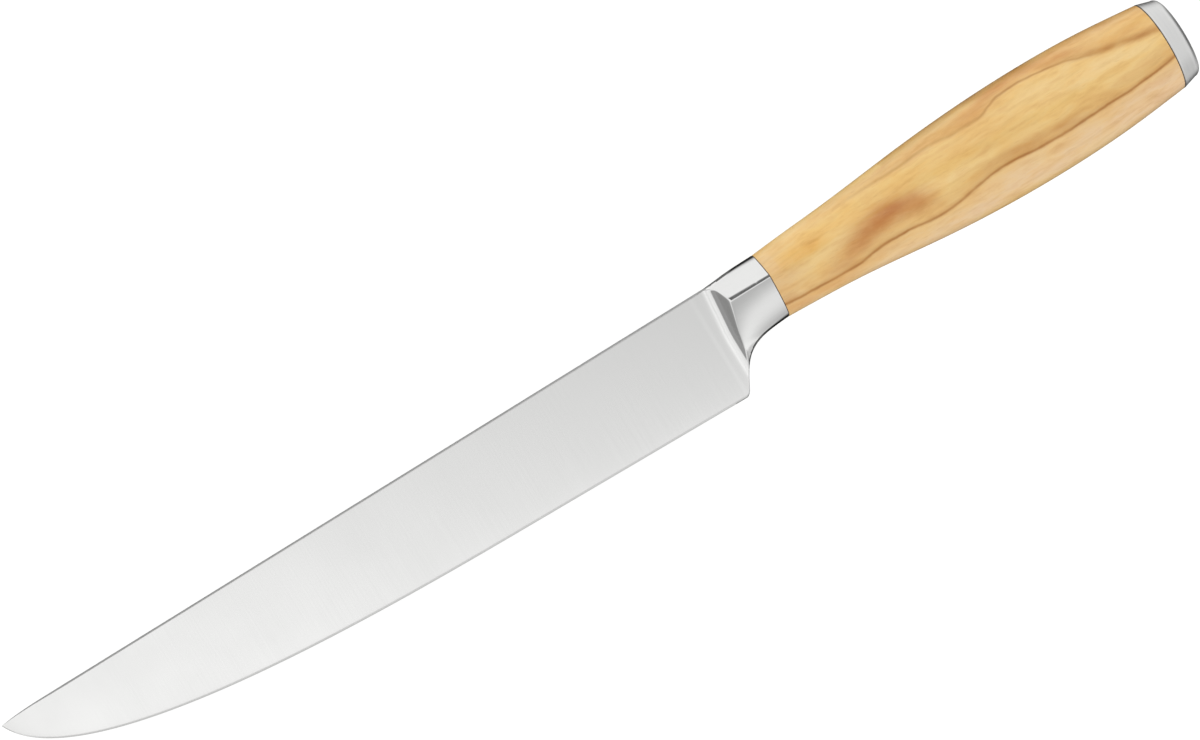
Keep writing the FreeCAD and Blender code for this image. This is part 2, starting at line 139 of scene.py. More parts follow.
# Lines of the grain along X and Y in millimetres, each with its lean in the wood and the bands along it.
# A band has its offset, its reach to each side, its colour, and its strength at places along X.
GRAIN_LENGTH = 130.0
GRAIN_SWING = 16.0
GRAIN_DEPTH = 7.0
GRAIN = (
    (((0, 1), (115, 2)), 0.0, (
        (0.0, 14.0, "#deb68c", ((0, 0.6), (5, 0.4), (11, 0))),
        (-13.0, 8.0, "#e6c09c", ((90, 0), (105, 0.5), (115, 0.7))))),
    (((0, 2.0), (30, 3.6), (60, 4.0), (115, 8.0)), 0.15, (
        (2.0, 4.2, "#efc060", ((3, 0), (10, 0.55), (18, 0.55), (26, 0.35), (45, 0.25), (58, 0.1), (70, 0))),
        (0.3, 3.6, "#e8b458", ((2, 0), (7, 0.5), (12, 0.8), (16, 0.5), (22, 0.2), (60, 0), (96, 0.2),
                               (106, 0.6), (115, 0.5))))),
    (((0, -6.2), (10, -6.8), (20, -7.1), (28, -6.0), (36, -6.0), (45, -6.8), (55, -5.4), (65, -4.6),
      (75, -5.2), (85, -5.4), (95, -5.2), (105, -4.6), (115, -3.6)), 0.25, (
        (-5.5, 7.5, "#efcda2", ((0, 0.3), (40, 0.8), (115, 0.9))),
        (-1.5, 2.4, "#e2ab66", ((0, 0.7), (25, 0.6), (40, 0.25), (60, 0.2), (115, 0.3))),
        (1.8, 2.8, "#d09a58", ((0, 0.15), (25, 0.3), (45, 0.2), (60, 0.5), (76, 0.85), (90, 0.55),
                               (108, 0.35))),
        (0.2, 1.3, "#cc954a", ((0, 0.5), (30, 0.6), (50, 0.6), (70, 0.7), (115, 0.7))),
        (0.0, 0.6, "#ae7228", ((0, 0.85), (30, 0.95), (50, 0.8), (70, 0.95), (90, 0.95), (115, 0.95))))),
    (((10, 8.0), (28, 8.6), (40, 8.6), (50, 9.0), (60, 8.4), (65, 8.2), (68, 9.2), (72, 10.3), (80, 10.4),
      (90, 9.0), (95, 7.4), (100, 6.3), (105, 5.2), (110, 4.2), (115, 3.4)), -0.2, (
        (1.0, 2.8, "#d6a158", ((12, 0), (28, 0.35), (46, 0.6), (60, 0.6), (70, 0.3), (76, 0))),
        (0.0, 0.8, "#c08a40", ((20, 0), (32, 0.3), (46, 0.5), (60, 0.45), (68, 0))),
        (2.2, 3.2, "#d89c54", ((44, 0), (54, 0.1), (68, 0.8), (86, 0.85), (98, 0.5), (108, 0.35))),
        (0.0, 0.6, "#b47c34", ((52, 0), (60, 0.15), (67, 0.6), (80, 0.8), (90, 0.65), (97, 0.4), (102, 0))),
        (0.4, 1.9, "#c08638", ((84, 0), (95, 0.65), (103, 0.9), (115, 0.85))))),
    # This line runs along the handle's top outline, and its bands darken the wood along the top edge.
    (((36, 11.5), (50, 12.9), (60, 13.7), (70, 14.15), (80, 14.25), (90, 14.0), (100, 13.4),
      (115, 12.0)), 0.0, (
        (0.0, 6.0, "#dfa45c", ((86, 0), (96, 0.45), (115, 0.45))),
        (0.0, 2.7, "#ae7634", ((38, 0), (50, 0.4), (60, 0.45), (70, 0.75), (80, 0.7), (90, 0.3), (102, 0.3),
                               (115, 0.2))))),
    (((8, -7.5), (14, -6.0), (18, -4.4), (24, -1.9), (29, -0.2), (33, 0.5), (37, 0.3), (43, -1.2),
      (48, -3.6)), 0.6, (
        (0.3, 7.0, "#dca662", ((10, 0), (17, 0.5), (28, 0.8), (33, 0.85), (38, 0.85), (43, 0.55), (49, 0))),
        (0.3, 5.0, "#c07630", ((13, 0), (18, 0.25), (24, 0.58), (30, 0.8), (35, 0.85), (39, 0.7),
                               (43, 0.35), (47, 0))))),
)
# Finer marks along the grain: streaks about 1 mm wide, mottling about 9 mm long, pores about 0.25 mm wide.
# Each has its cells to a millimetre along X, Y and Z, its detail and roughness, its share and its tints.
GRAIN_MARKS = {
    "streaks": ((0.12, 0.9, 0.9), 5.0, 0.5, 0.5, ((0.30, "#efe4d0"), (0.52, "#fefcf8"), (0.72, "#ffffff"))),
    "mottling": ((0.11, 0.35, 0.35), 5.0, 0.55, 0.65,
                 ((0.28, "#eed9b6"), (0.44, "#fff7e6"), (0.56, "#ffffff"), (0.72, "#f6e9e0"))),
    "pores": ((0.3, 4.0, 4.0), 2.0, 0.5, 0.22, ((0.26, "#c8aa80"), (0.36, "#ffffff"))),
}

# The dome's light from west to east, and the depth of its slot and of its shade from south to north
DOME_ENDS = ((0.0, 0.37), (0.085, 0.38), (0.125, 0.82), (0.16, 0.9), (0.3, 0.93), (0.45, 1.0), (0.85, 1.0),
             (0.90, 0.6), (0.95, 0.2), (1.0, 0.05))
DOME_SLOT = ((0.0, 0.0), (0.41, 0.1), (0.48, 0.2), (0.51, 0.55), (0.53, 0.82), (0.88, 0.82), (0.92, 0.0),
             (1.0, 0.0))
DOME_SHADE = ((0.0, 0.45), (0.015, 0.36), (0.05, 0.27), (0.10, 0.16), (0.17, 0.07), (0.20, 0.11),
              (0.225, 0.19), (0.25, 0.28), (0.275, 0.35), (0.32, 0.40), (0.36, 0.38),
              (0.40, 0.15), (0.43, 0.0), (1.0, 0.0))
# Where the slot's middle lies, from west to east
SLOT_MIDDLE = -0.155


def linear(code):
    """Turn an sRGB hex colour into the linear colour that shaders take."""
    parts = [int(code[place:place + 2], 16) / 255 for place in (1, 3, 5)]
    parts = [part / 12.92 if part <= 0.04045 else ((part + 0.055) / 1.055) ** 2.4 for part in parts]
    return (*parts, 1.0)


def length_of(name, description, millimetres):
    """Return the property of a length."""
    return FloatProperty(name=name, description=description, default=millimetres * MM, unit="LENGTH")


def section_of(name, *millimetres):
    """Return the property of a section of the handle."""
    return FloatVectorProperty(name=name, description="Up, down, half width, widest height", size=4,
                               default=[size * MM for size in millimetres], unit="LENGTH")


def colour_of(name, description, code):
    """Return the property of a colour."""
    return FloatVectorProperty(name=name, description=description, default=linear(code), size=4,
                               subtype="COLOR", min=0.0, max=1.0)


class KnifeBladeSettings(bpy.types.PropertyGroup):
    """Sizes and colours of the blade and its bolster."""
    length: length_of("Length", "Heel to point", 195.4)
    heel_lead: length_of("Heel lead", "Heel ahead of the bolster's step", 5.0)
    heel_depth: length_of("Heel depth", "Tang axis down to the heel", 20.2)
    heel_round: length_of("Heel round", "Reach of the rounded heel corner", 1.7)
    heel_ease: length_of("Heel ease", "Radius of the eased edges behind the heel", 0.35)
    straight_edge: length_of("Straight edge", "Length of edge before the belly", 66.6)
    belly_depth: length_of("Belly depth", "Tang axis down to the belly's start", 18.7)
    spine_rise: length_of("Spine rise", "Tang axis up to the spine", 8.1)
    spine_fall: length_of("Spine fall", "How far the spine sinks towards the point", 0.5)
    point_run: length_of("Point run", "Length of the spine's drop to the point", 12.0)
    point_drop: length_of("Point drop", "Depth of the spine's drop to the point", 0.75)
    thickness: length_of("Thickness", "Spine thickness at the heel", 2.3)
    spine_round: length_of("Spine round", "Radius of the eased spine edges", 0.42)
    edge_land: length_of("Edge land", "Half thickness left behind the edge bevel", 0.12)
    bevel_width: length_of("Bevel width", "Width of the honed edge bevel", 0.28)
    # The bolster's dark rims mirror the dark dome at its outlines, and their dark tone adds painted shade
    # there
    shaded_rim_width: length_of("Rim width", "Width of the dark ground rims of the bolster", 0.55)
    bolster_length: length_of("Bolster length", "Step to handle", 13.4)
    step_hollow: length_of("Step hollow", "Length of the hollow at the foot of the step", 4.4)
    step_run: length_of("Step run", "Length over which the step slants up", 1.9)
    step_lean: FloatProperty(name="Step lean", default=math.radians(5.7), subtype="ANGLE",
                             description="Lean of the step's upper part towards the handle")
    step_bend: length_of("Step bend", "Tang axis down to where the step begins to lean", 5.0)
    nose_half: length_of("Nose half width", "Half thickness of the bolster at its step", 4.6)
    nose_up: length_of("Nose top", "Tang axis up to the top of the bulge at the step", 8.0)
    face_dull: colour_of("Face colour, dull", "Darker tone of the satin faces", "#e0e0df")
    face_bright: colour_of("Face colour, bright", "Lighter tone of the satin faces", "#e6e6e5")


class KnifeHandleSettings(bpy.types.PropertyGroup):
    """Sections, edges and colours of the handle."""
    joint: section_of("Section at the bolster", 8.85, 8.6, 6.9, 2.4)
    palm: section_of("Section in the palm", 14.25, 14.05, 10.0, 0.6)
    cap: section_of("Section at the cap", 12.0, 11.95, 8.85, 0.4)
    butt: section_of("Section at the butt", 10.95, 10.9, 8.05, 0.3)
    ridge: FloatProperty(name="Ridge", description="Share of a ridge at the bolster", default=1.0,
                         subtype="FACTOR", min=0.0, max=1.0)
    ridge_run: length_of("Ridge run", "Length of wood over which the ridge fades", 45.0)
    ridge_round: length_of("Ridge round", "Reach of the rounding along the ridge", 0.6)
    cap_round: length_of("Cap round", "Radius of the butt's rim", 1.6)
    edge_break: length_of("Edge break", "Eased edge of wood and cap at the joints", 0.12)
    wood_deep: colour_of("Wood, deep", "Deepest tone of the wood's ground", "#edc47d")
    wood_warm: colour_of("Wood, warm", "Warm tone of the wood's ground", "#f2cd86")
    wood_pale: colour_of("Wood, pale", "Palest tone of the wood's ground", "#f5d392")
    wood_soft: colour_of("Wood, soft", "Soft tone of the wood's ground", "#f1cc8e")


class KnifeStageSettings(bpy.types.PropertyGroup):
    """Camera, floor and light."""
    aim: FloatVectorProperty(name="Camera aim", description="Point aimed at, from the bolster's joint",
                             default=(-46.546 * MM, 4.421 * MM, 0.0), size=3, unit="LENGTH")
    distance: length_of("Camera distance", "Camera to the point that it aims at", 1106)
    tilt: FloatProperty(name="Camera tilt", description="Lean of the camera towards the point of the blade",
                        default=math.radians(8.06), subtype="ANGLE")
    turn: FloatProperty(name="Camera turn", description="Turn of the picture about the line of sight",
                        default=math.radians(31.6), subtype="ANGLE")
    lens: FloatProperty(name="Lens", description="Focal length", default=136.5, unit="CAMERA")
    floor_radius: length_of("Floor radius", "Radius of the floor", 8000)
    floor_glow: FloatProperty(name="Floor glow", description="Light from the floor", default=0.9, min=0.0)
    light: FloatProperty(name="Light", description="Brightness of the dome", default=1.12, min=0.0)


def add(tree, kind, inputs=(), stops=None, **settings):
    """Add a node with its settings, its curve points or colour stops, and its inputs in order or by name.

    An input is a value, a socket, or a node of which the first output is meant.
    """
    node = tree.nodes.new(kind)
    for name, value in settings.items():
        setattr(node, name, value)
    if stops and kind == "ShaderNodeFloatCurve":
        curve = node.mapping.curves[0]
        for place, height in stops[1:-1]:
            curve.points.new(place, height)
        for point, place in zip(curve.points, stops):
            point.location = place
        node.mapping.update()
    elif stops:
        ramp = node.color_ramp
        while len(ramp.elements) < len(stops):
            ramp.elements.new(1.0)
        for element, (place, colour) in zip(ramp.elements, stops):
            element.position = place
            element.color = colour
    for socket, value in inputs.items() if isinstance(inputs, dict) else enumerate(inputs):
        source = value.outputs[0] if isinstance(value, bpy.types.Node) else value
        if isinstance(source, bpy.types.NodeSocket):
            tree.links.new(source, node.inputs[socket])
        else:
            node.inputs[socket].default_value = source
    return node


def new_material(name):
    """Return an empty material, its tree, and the place on it in millimetres in the pieces' own frame."""
    material = bpy.data.materials.new(name)
    material.use_nodes = True
    tree = material.node_tree
    tree.nodes.clear()
    coordinates = add(tree, "ShaderNodeTexCoord")
    moved = add(tree, "ShaderNodeVectorMath", [coordinates.outputs["Object"], JOINT], operation="SUBTRACT")
    return material, tree, add(tree, "ShaderNodeVectorMath", {0: moved, "Scale": 1 / MM}, operation="SCALE")


def with_surface(material, inputs):
    """Give a material its surface shader with these inputs, and return it."""
    shader = add(material.node_tree, "ShaderNodeBsdfPrincipled", inputs)
    add(material.node_tree, "ShaderNodeOutputMaterial", {"Surface": shader})
    return material


def spline(places, values, wanted):
    """Run a natural cubic spline through values at rising places, and return it at the wanted places."""
    places = np.asarray(places, float)
    values = np.asarray(values, float)
    gaps = np.diff(places)
    slopes = np.diff(values) / gaps
    system = np.eye(len(places))
    bends = np.zeros(len(places))
    for row in range(1, len(places) - 1):
        system[row, row - 1:row + 2] = gaps[row - 1], 2 * (gaps[row - 1] + gaps[row]), gaps[row]
        bends[row] = 6 * (slopes[row] - slopes[row - 1])
    bends = np.linalg.solve(system, bends)
    wanted = np.clip(wanted, places[0], places[-1])
    span = np.clip(np.searchsorted(places, wanted) - 1, 0, len(gaps) - 1)
    ahead = places[span + 1] - wanted
    behind = wanted - places[span]
    gap = gaps[span]
    curve = (bends[span] * ahead ** 3 + bends[span + 1] * behind ** 3) / (6 * gap)
    curve += (values[span] / gap - bends[span] * gap / 6) * ahead
    return curve + (values[span + 1] / gap - bends[span + 1] * gap / 6) * behind


def ease(low, high, value):
    """Rise smoothly from 0 at low to 1 at high."""
    share = np.clip((value - low) / (high - low), 0, 1)
    return share * share * (3 - 2 * share)


def soft_max(first, second, reach):
    """Return the larger of two heights, with the corner between them rounded over this reach."""
    overlap = np.clip(1 - np.abs(first - second) / reach, 0, None)
    return np.maximum(first, second) + overlap * overlap * reach / 4


def bezier(ends, share):
    """Return the points of a cubic curve at these shares of its run."""
    share = np.asarray(share)[:, None]
    start, pull, other_pull, end = (np.asarray(point) for point in ends)
    return ((1 - share) ** 3 * start + 3 * (1 - share) ** 2 * share * pull
            + 3 * (1 - share) * share ** 2 * other_pull + share ** 3 * end)


def eased_edge(half, radius, inward):
    """Return a plate's half thickness at distances from its edge, which is rounded to this radius."""
    into = np.clip(radius - inward, 0, None)
    return half - radius + np.sqrt(np.clip(radius ** 2 - into ** 2, 0, None))


def close_skin(loops, ring_shaped=False):
    """Join loops that turn from Z to Y into outward faces, closed by fans or from last loop to first."""
    count, rings = len(loops[0]), len(loops)
    following = [(corner + 1) % count for corner in range(count)]
    faces = []
    for ring in range(rings if ring_shaped else rings - 1):
        here, there = ring * count, (ring + 1) % rings * count
        faces += [(here + corner, there + corner, there + beside, here + beside)
                  for corner, beside in enumerate(following)]
    if ring_shaped:
        return np.concatenate(loops), faces
    first_middle, last_middle = rings * count, rings * count + 1
    last = first_middle - count
    faces += [(corner, beside, first_middle) for corner, beside in enumerate(following)]
    faces += [(last + beside, last + corner, last_middle) for corner, beside in enumerate(following)]
    return np.concatenate([*loops, [loops[0].mean(axis=0)], [loops[-1].mean(axis=0)]]), faces


def new_piece(name, skin, materials, node):
    """Make a smooth piece with sharp edges from its skin, which rides on the knife in place of a node."""
    vertices, faces = skin
    if not np.isfinite(vertices).all():
        raise ValueError(f"{name} has a vertex that is nowhere")
    mesh = bpy.data.meshes.new(name)
    mesh.from_pydata([tuple(vertex) for vertex in vertices + np.array(JOINT)], [], faces)
    mesh.shade_smooth()
    mesh.set_sharp_from_angle(angle=SHARP_EDGE)
    for material in materials:
        mesh.materials.append(material)
    piece = bpy.data.objects.new(name, mesh)
    bpy.context.scene.collection.objects.link(piece)
    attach(piece, "root")
    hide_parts(node)
    return piece


def flank(share, slant, bow):
    """Return how much half width is left at a share of the way from a ridged section's crest to its rim."""
    return (1 - slant * share - bow * share ** 2) * np.sqrt(1 - np.clip(share, 0, 1) ** RIM_POWER)


def ridged(heights, crest, top, bottom, half, under, reach):
    """Return half the thickness of a ridged section at these heights, its ridge rounded over this reach."""
    upper = half * flank((heights - crest) / (top - crest), *RIDGE_TOP)
    lower = half * flank((crest - heights) / (crest - bottom), *under)
    return -soft_max(-upper, -lower, reach)


def egg_loop(section, ridge=0.0, reach=1 * MM):
    """Return one egg-shaped section as points in Y and Z, with a share of a ridge along its crest."""
    up, down, half, crest = section
    share = (1 - np.cos(np.linspace(0, math.pi, LOOP // 4 + 1))) / 2
    rise = np.concatenate([share, share[-2::-1], -share[1:], -share[-2:0:-1]])
    side = np.where(np.arange(LOOP) % (3 * LOOP // 4) <= LOOP // 4, 1, -1)
    heights = crest + np.where(rise > 0, up - crest, down + crest) * rise
    egg = half * np.sqrt(1 - rise ** 2)
    depth = egg + ridge * (ridged(heights, crest, up, -down, half, RIDGE_UNDER, reach) - egg)
    return np.stack([heights, side * depth], axis=1)


def rectangle_loop(outline, half_sizes):
    """Pull an outline in Y and Z towards the axis onto a rectangle, with a point on each of its corners."""
    loop = outline / np.max(np.abs(outline) / half_sizes, axis=1)[:, None]
    for corner in np.array([(1, 1), (1, -1), (-1, -1), (-1, 1)]) * half_sizes:
        loop[np.argmin(np.linalg.norm(loop - corner, axis=1))] = corner
    return loop


def wood_openings():
    """Return the loops in Y and Z of the wood's tang slot, stud bore and counterbore."""
    turns = np.linspace(0, 2 * math.pi, LOOP, endpoint=False)
    ring = np.stack([np.sin(turns), np.cos(turns)], axis=1)
    washer_low, washer_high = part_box("clamp_washer")
    seat = ring * ((washer_high.y - washer_low.y) / 2 + WASHER_PLAY)
    bore = ring * ((STUD_HIGH.y - STUD_LOW.y) / 2 + STUD_PLAY)
    return rectangle_loop(ring, BED_HALF), bore, seat


def at_station(place, outline):
    """Stand a section's points at a place along X."""
    return np.column_stack([np.full(len(outline), place), outline])


def broken_edge(radius):
    """Return how far the stations of a broken edge stand back along X and inward, from the end face on."""
    turns = np.linspace(0, math.pi / 2, BREAK_STATIONS)
    return radius * (1 - np.cos(turns)), radius * (1 - np.sin(turns))


def lined_steel(name, lines, dull, bright, roughness, detail=4.0, patch=None, bump=None):
    """Return bare steel whose fine lines, so many to a millimetre along X, Y and Z, set its tone and gloss.

    Its gloss may come from patches of a size in millimetres instead, and its lines may stand out as a bump.
    """
    material, tree, place = new_material(name)
    drawn = add(tree, "ShaderNodeVectorMath", [place, lines], operation="MULTIPLY")
    marks = add(tree, "ShaderNodeTexNoise", {"Vector": drawn, "Scale": 1.0, "Detail": detail})
    tone = add(tree, "ShaderNodeMix", {0: marks, 6: dull, 7: bright}, data_type="RGBA")
    gloss = marks
    if patch:
        gloss = add(tree, "ShaderNodeTexNoise", {"Vector": place, "Scale": 1 / patch, "Detail": 3.0})
    rough = add(tree, "ShaderNodeMapRange", [gloss, *NOISE_SPREAD, *roughness])
    inputs = {"Base Color": tone.outputs[2], "Roughness": rough, "Metallic": 1.0}
    if bump:
        inputs["Normal"] = add(tree, "ShaderNodeBump",
                               {"Height": marks, "Strength": bump, "Distance": LINE_DEPTH})
    return with_surface(material, inputs)


def ground_steel(dull, bright):
    """Stainless knife steel, satin ground: soft broad reflections, hair-fine lines from spine to edge."""
    # Real grinding lines lie about 0.05 mm apart. They are drawn 0.4 mm apart, so that they show.
    return lined_steel("stainless_steel_satin_ground", (2.5, 0.03, 0.03), dull, bright, (0.19, 0.23),
                       detail=6.0, patch=25.0, bump=0.02)


def polished_steel():
    """Stainless knife steel, polished: clear reflections, a little broken by the polishing mop."""
    # Mop marks run along the knife, about 0.6 mm apart
    return lined_steel("stainless_steel_polished", (0.08, 1.6, 1.6), linear("#d8d8d7"), linear("#dededd"),
                       (0.08, 0.13))


def eased_steel_painted_shade():
    """Stainless knife steel, eased on a belt along spine and heel: a duller hairline, its darker tone
    painted shade.
    """
    # Belt lines run along the spine, about 0.03 mm apart. They are drawn 0.2 mm apart.
    return lined_steel("stainless_steel_eased_painted_shade", (0.1, 5.0, 5.0), linear("#919190"), linear("#aaaaa9"),
                       (0.30, 0.42))


def rim_steel_painted_shade():
    """Stainless knife steel with belt lines in a rim under and over the bolster: dull, its dark tone
    painted shade.
    """
    # Belt lines run along the rim, about 0.1 mm apart. They are drawn 0.3 mm apart.
    return lined_steel("stainless_steel_rim_painted_shade", (0.1, 3.3, 3.3), linear("#565655"), linear("#6c6c6b"),
                       (0.22, 0.32))


def honed_steel_painted_shade():
    """Stainless knife steel, honed on a fine stone: a hairline along the cutting edge, greyed by painted
    shade.
    """
    # Stone marks run along the edge, about 0.01 mm apart. They are drawn 0.2 mm apart.
    return lined_steel("stainless_steel_honed_edge_painted_shade", (0.1, 5.0, 5.0), linear("#c2c2c1"), linear("#d0d0cf"),
                       (0.30, 0.42))


def brushed_steel():
    """Stainless steel, satin brushed round the butt: blurred reflections with fine lines round the cap."""
    # Brushing lines lie about 0.05 mm apart. They are drawn 0.4 mm apart, so that they show.
    return lined_steel("stainless_steel_brushed_cap", (2.5, 0.06, 0.06), linear("#cecece"),
                       linear("#dcdcda"), (0.36, 0.44), detail=5.0, bump=0.03)


def turned_steel():
    """Free-cutting steel, turned bright: rings of fine tool marks round the axis."""
    # Tool marks lie about 0.1 mm apart. They are drawn 0.3 mm apart.
    return lined_steel("steel_turned_bright", (3.3, 0.1, 0.1), linear("#a9a9a6"), linear("#c6c6c3"),
                       (0.25, 0.42), detail=3.0)


def blade_outline(sizes, joint_up):
    """Return stations along the blade, with its ground edge, underside, top and bolster's top there."""
    step_x = -sizes.bolster_length
    heel_x = step_x - sizes.heel_lead
    straight_x = heel_x - sizes.straight_edge
    point_x = heel_x - sizes.length
    drop_x = point_x + sizes.point_run
    spine_front = sizes.spine_rise - sizes.spine_fall
    point_y = spine_front - sizes.point_drop

    # Stations: close at the point, wide along the blade, closest round heel and step
    stations = np.concatenate([
        point_x + sizes.point_run * np.linspace(POINT_START, 1, POINT_STATIONS) ** 2,
        np.linspace(drop_x, heel_x - STEP_MARGIN, BLADE_STATIONS)[1:],
        np.linspace(heel_x - STEP_MARGIN, step_x + STEP_MARGIN, STEP_STATIONS)[1:],
        np.linspace(step_x + STEP_MARGIN, 0, BOLSTER_STATIONS)[1:],
    ])

    # The cutting edge: straight from the heel, then curved up to the point
    edge_slope = (sizes.heel_depth - sizes.belly_depth) / sizes.straight_edge
    pull = BELLY_PULL * (sizes.length - sizes.straight_edge)
    point_pull = (point_x + POINT_PULL[0] * sizes.length,
                  point_y - POINT_PULL[1] * (sizes.spine_rise + sizes.heel_depth))
    belly = bezier([(point_x, point_y), point_pull,
                    (straight_x - pull, -sizes.belly_depth + edge_slope * pull),
                    (straight_x, -sizes.belly_depth)], np.linspace(0, 1, BELLY_POINTS))
    ground_edge = np.where(stations < straight_x, np.interp(stations, *belly.T),
                           -sizes.heel_depth - edge_slope * (stations - heel_x))

    # The underside: the rounded heel, then the choil up to the handle
    choil_x, choil_y = np.array(CHOIL_LINE).T * MM
    heel_slope = (choil_y[1] - choil_y[0]) / (choil_x[1] - choil_x[0])
    choil = np.where(stations < choil_x[0], choil_y[0] + heel_slope * (stations - choil_x[0]),
                     spline(choil_x, choil_y, stations))
    low = np.where(stations > choil_x[2], choil, soft_max(ground_edge, choil, sizes.heel_round))

    # The top: the spine with its drop to the point, and the bolster's top, which sinks into it
    drop_pull = (point_x + DROP_END_PULL[0] * sizes.point_run,
                 point_y + DROP_END_PULL[1] * sizes.point_drop)
    drop = bezier([(drop_x, spine_front), (point_x + DROP_PULL * sizes.point_run, spine_front), drop_pull,
                   (point_x, point_y)], np.linspace(1, 0, DROP_POINTS))
    spine = np.interp(stations, [drop_x, step_x], [spine_front, sizes.spine_rise])
    spine = np.where(stations < drop_x, np.interp(stations, *drop.T), spine)
    top_along, top_share = np.array(BOLSTER_TOP_SHARES).T
    bolster_top = spline(step_x * (1 - top_along), sizes.nose_up + (joint_up - sizes.nose_up) * top_share,
                         stations)
    sunk = NOSE_SINK * np.clip(step_x - stations, 0, None)
    high = soft_max(spine, bolster_top - sunk, NOSE_BLEND)
    return stations, ground_edge, low, high, bolster_top


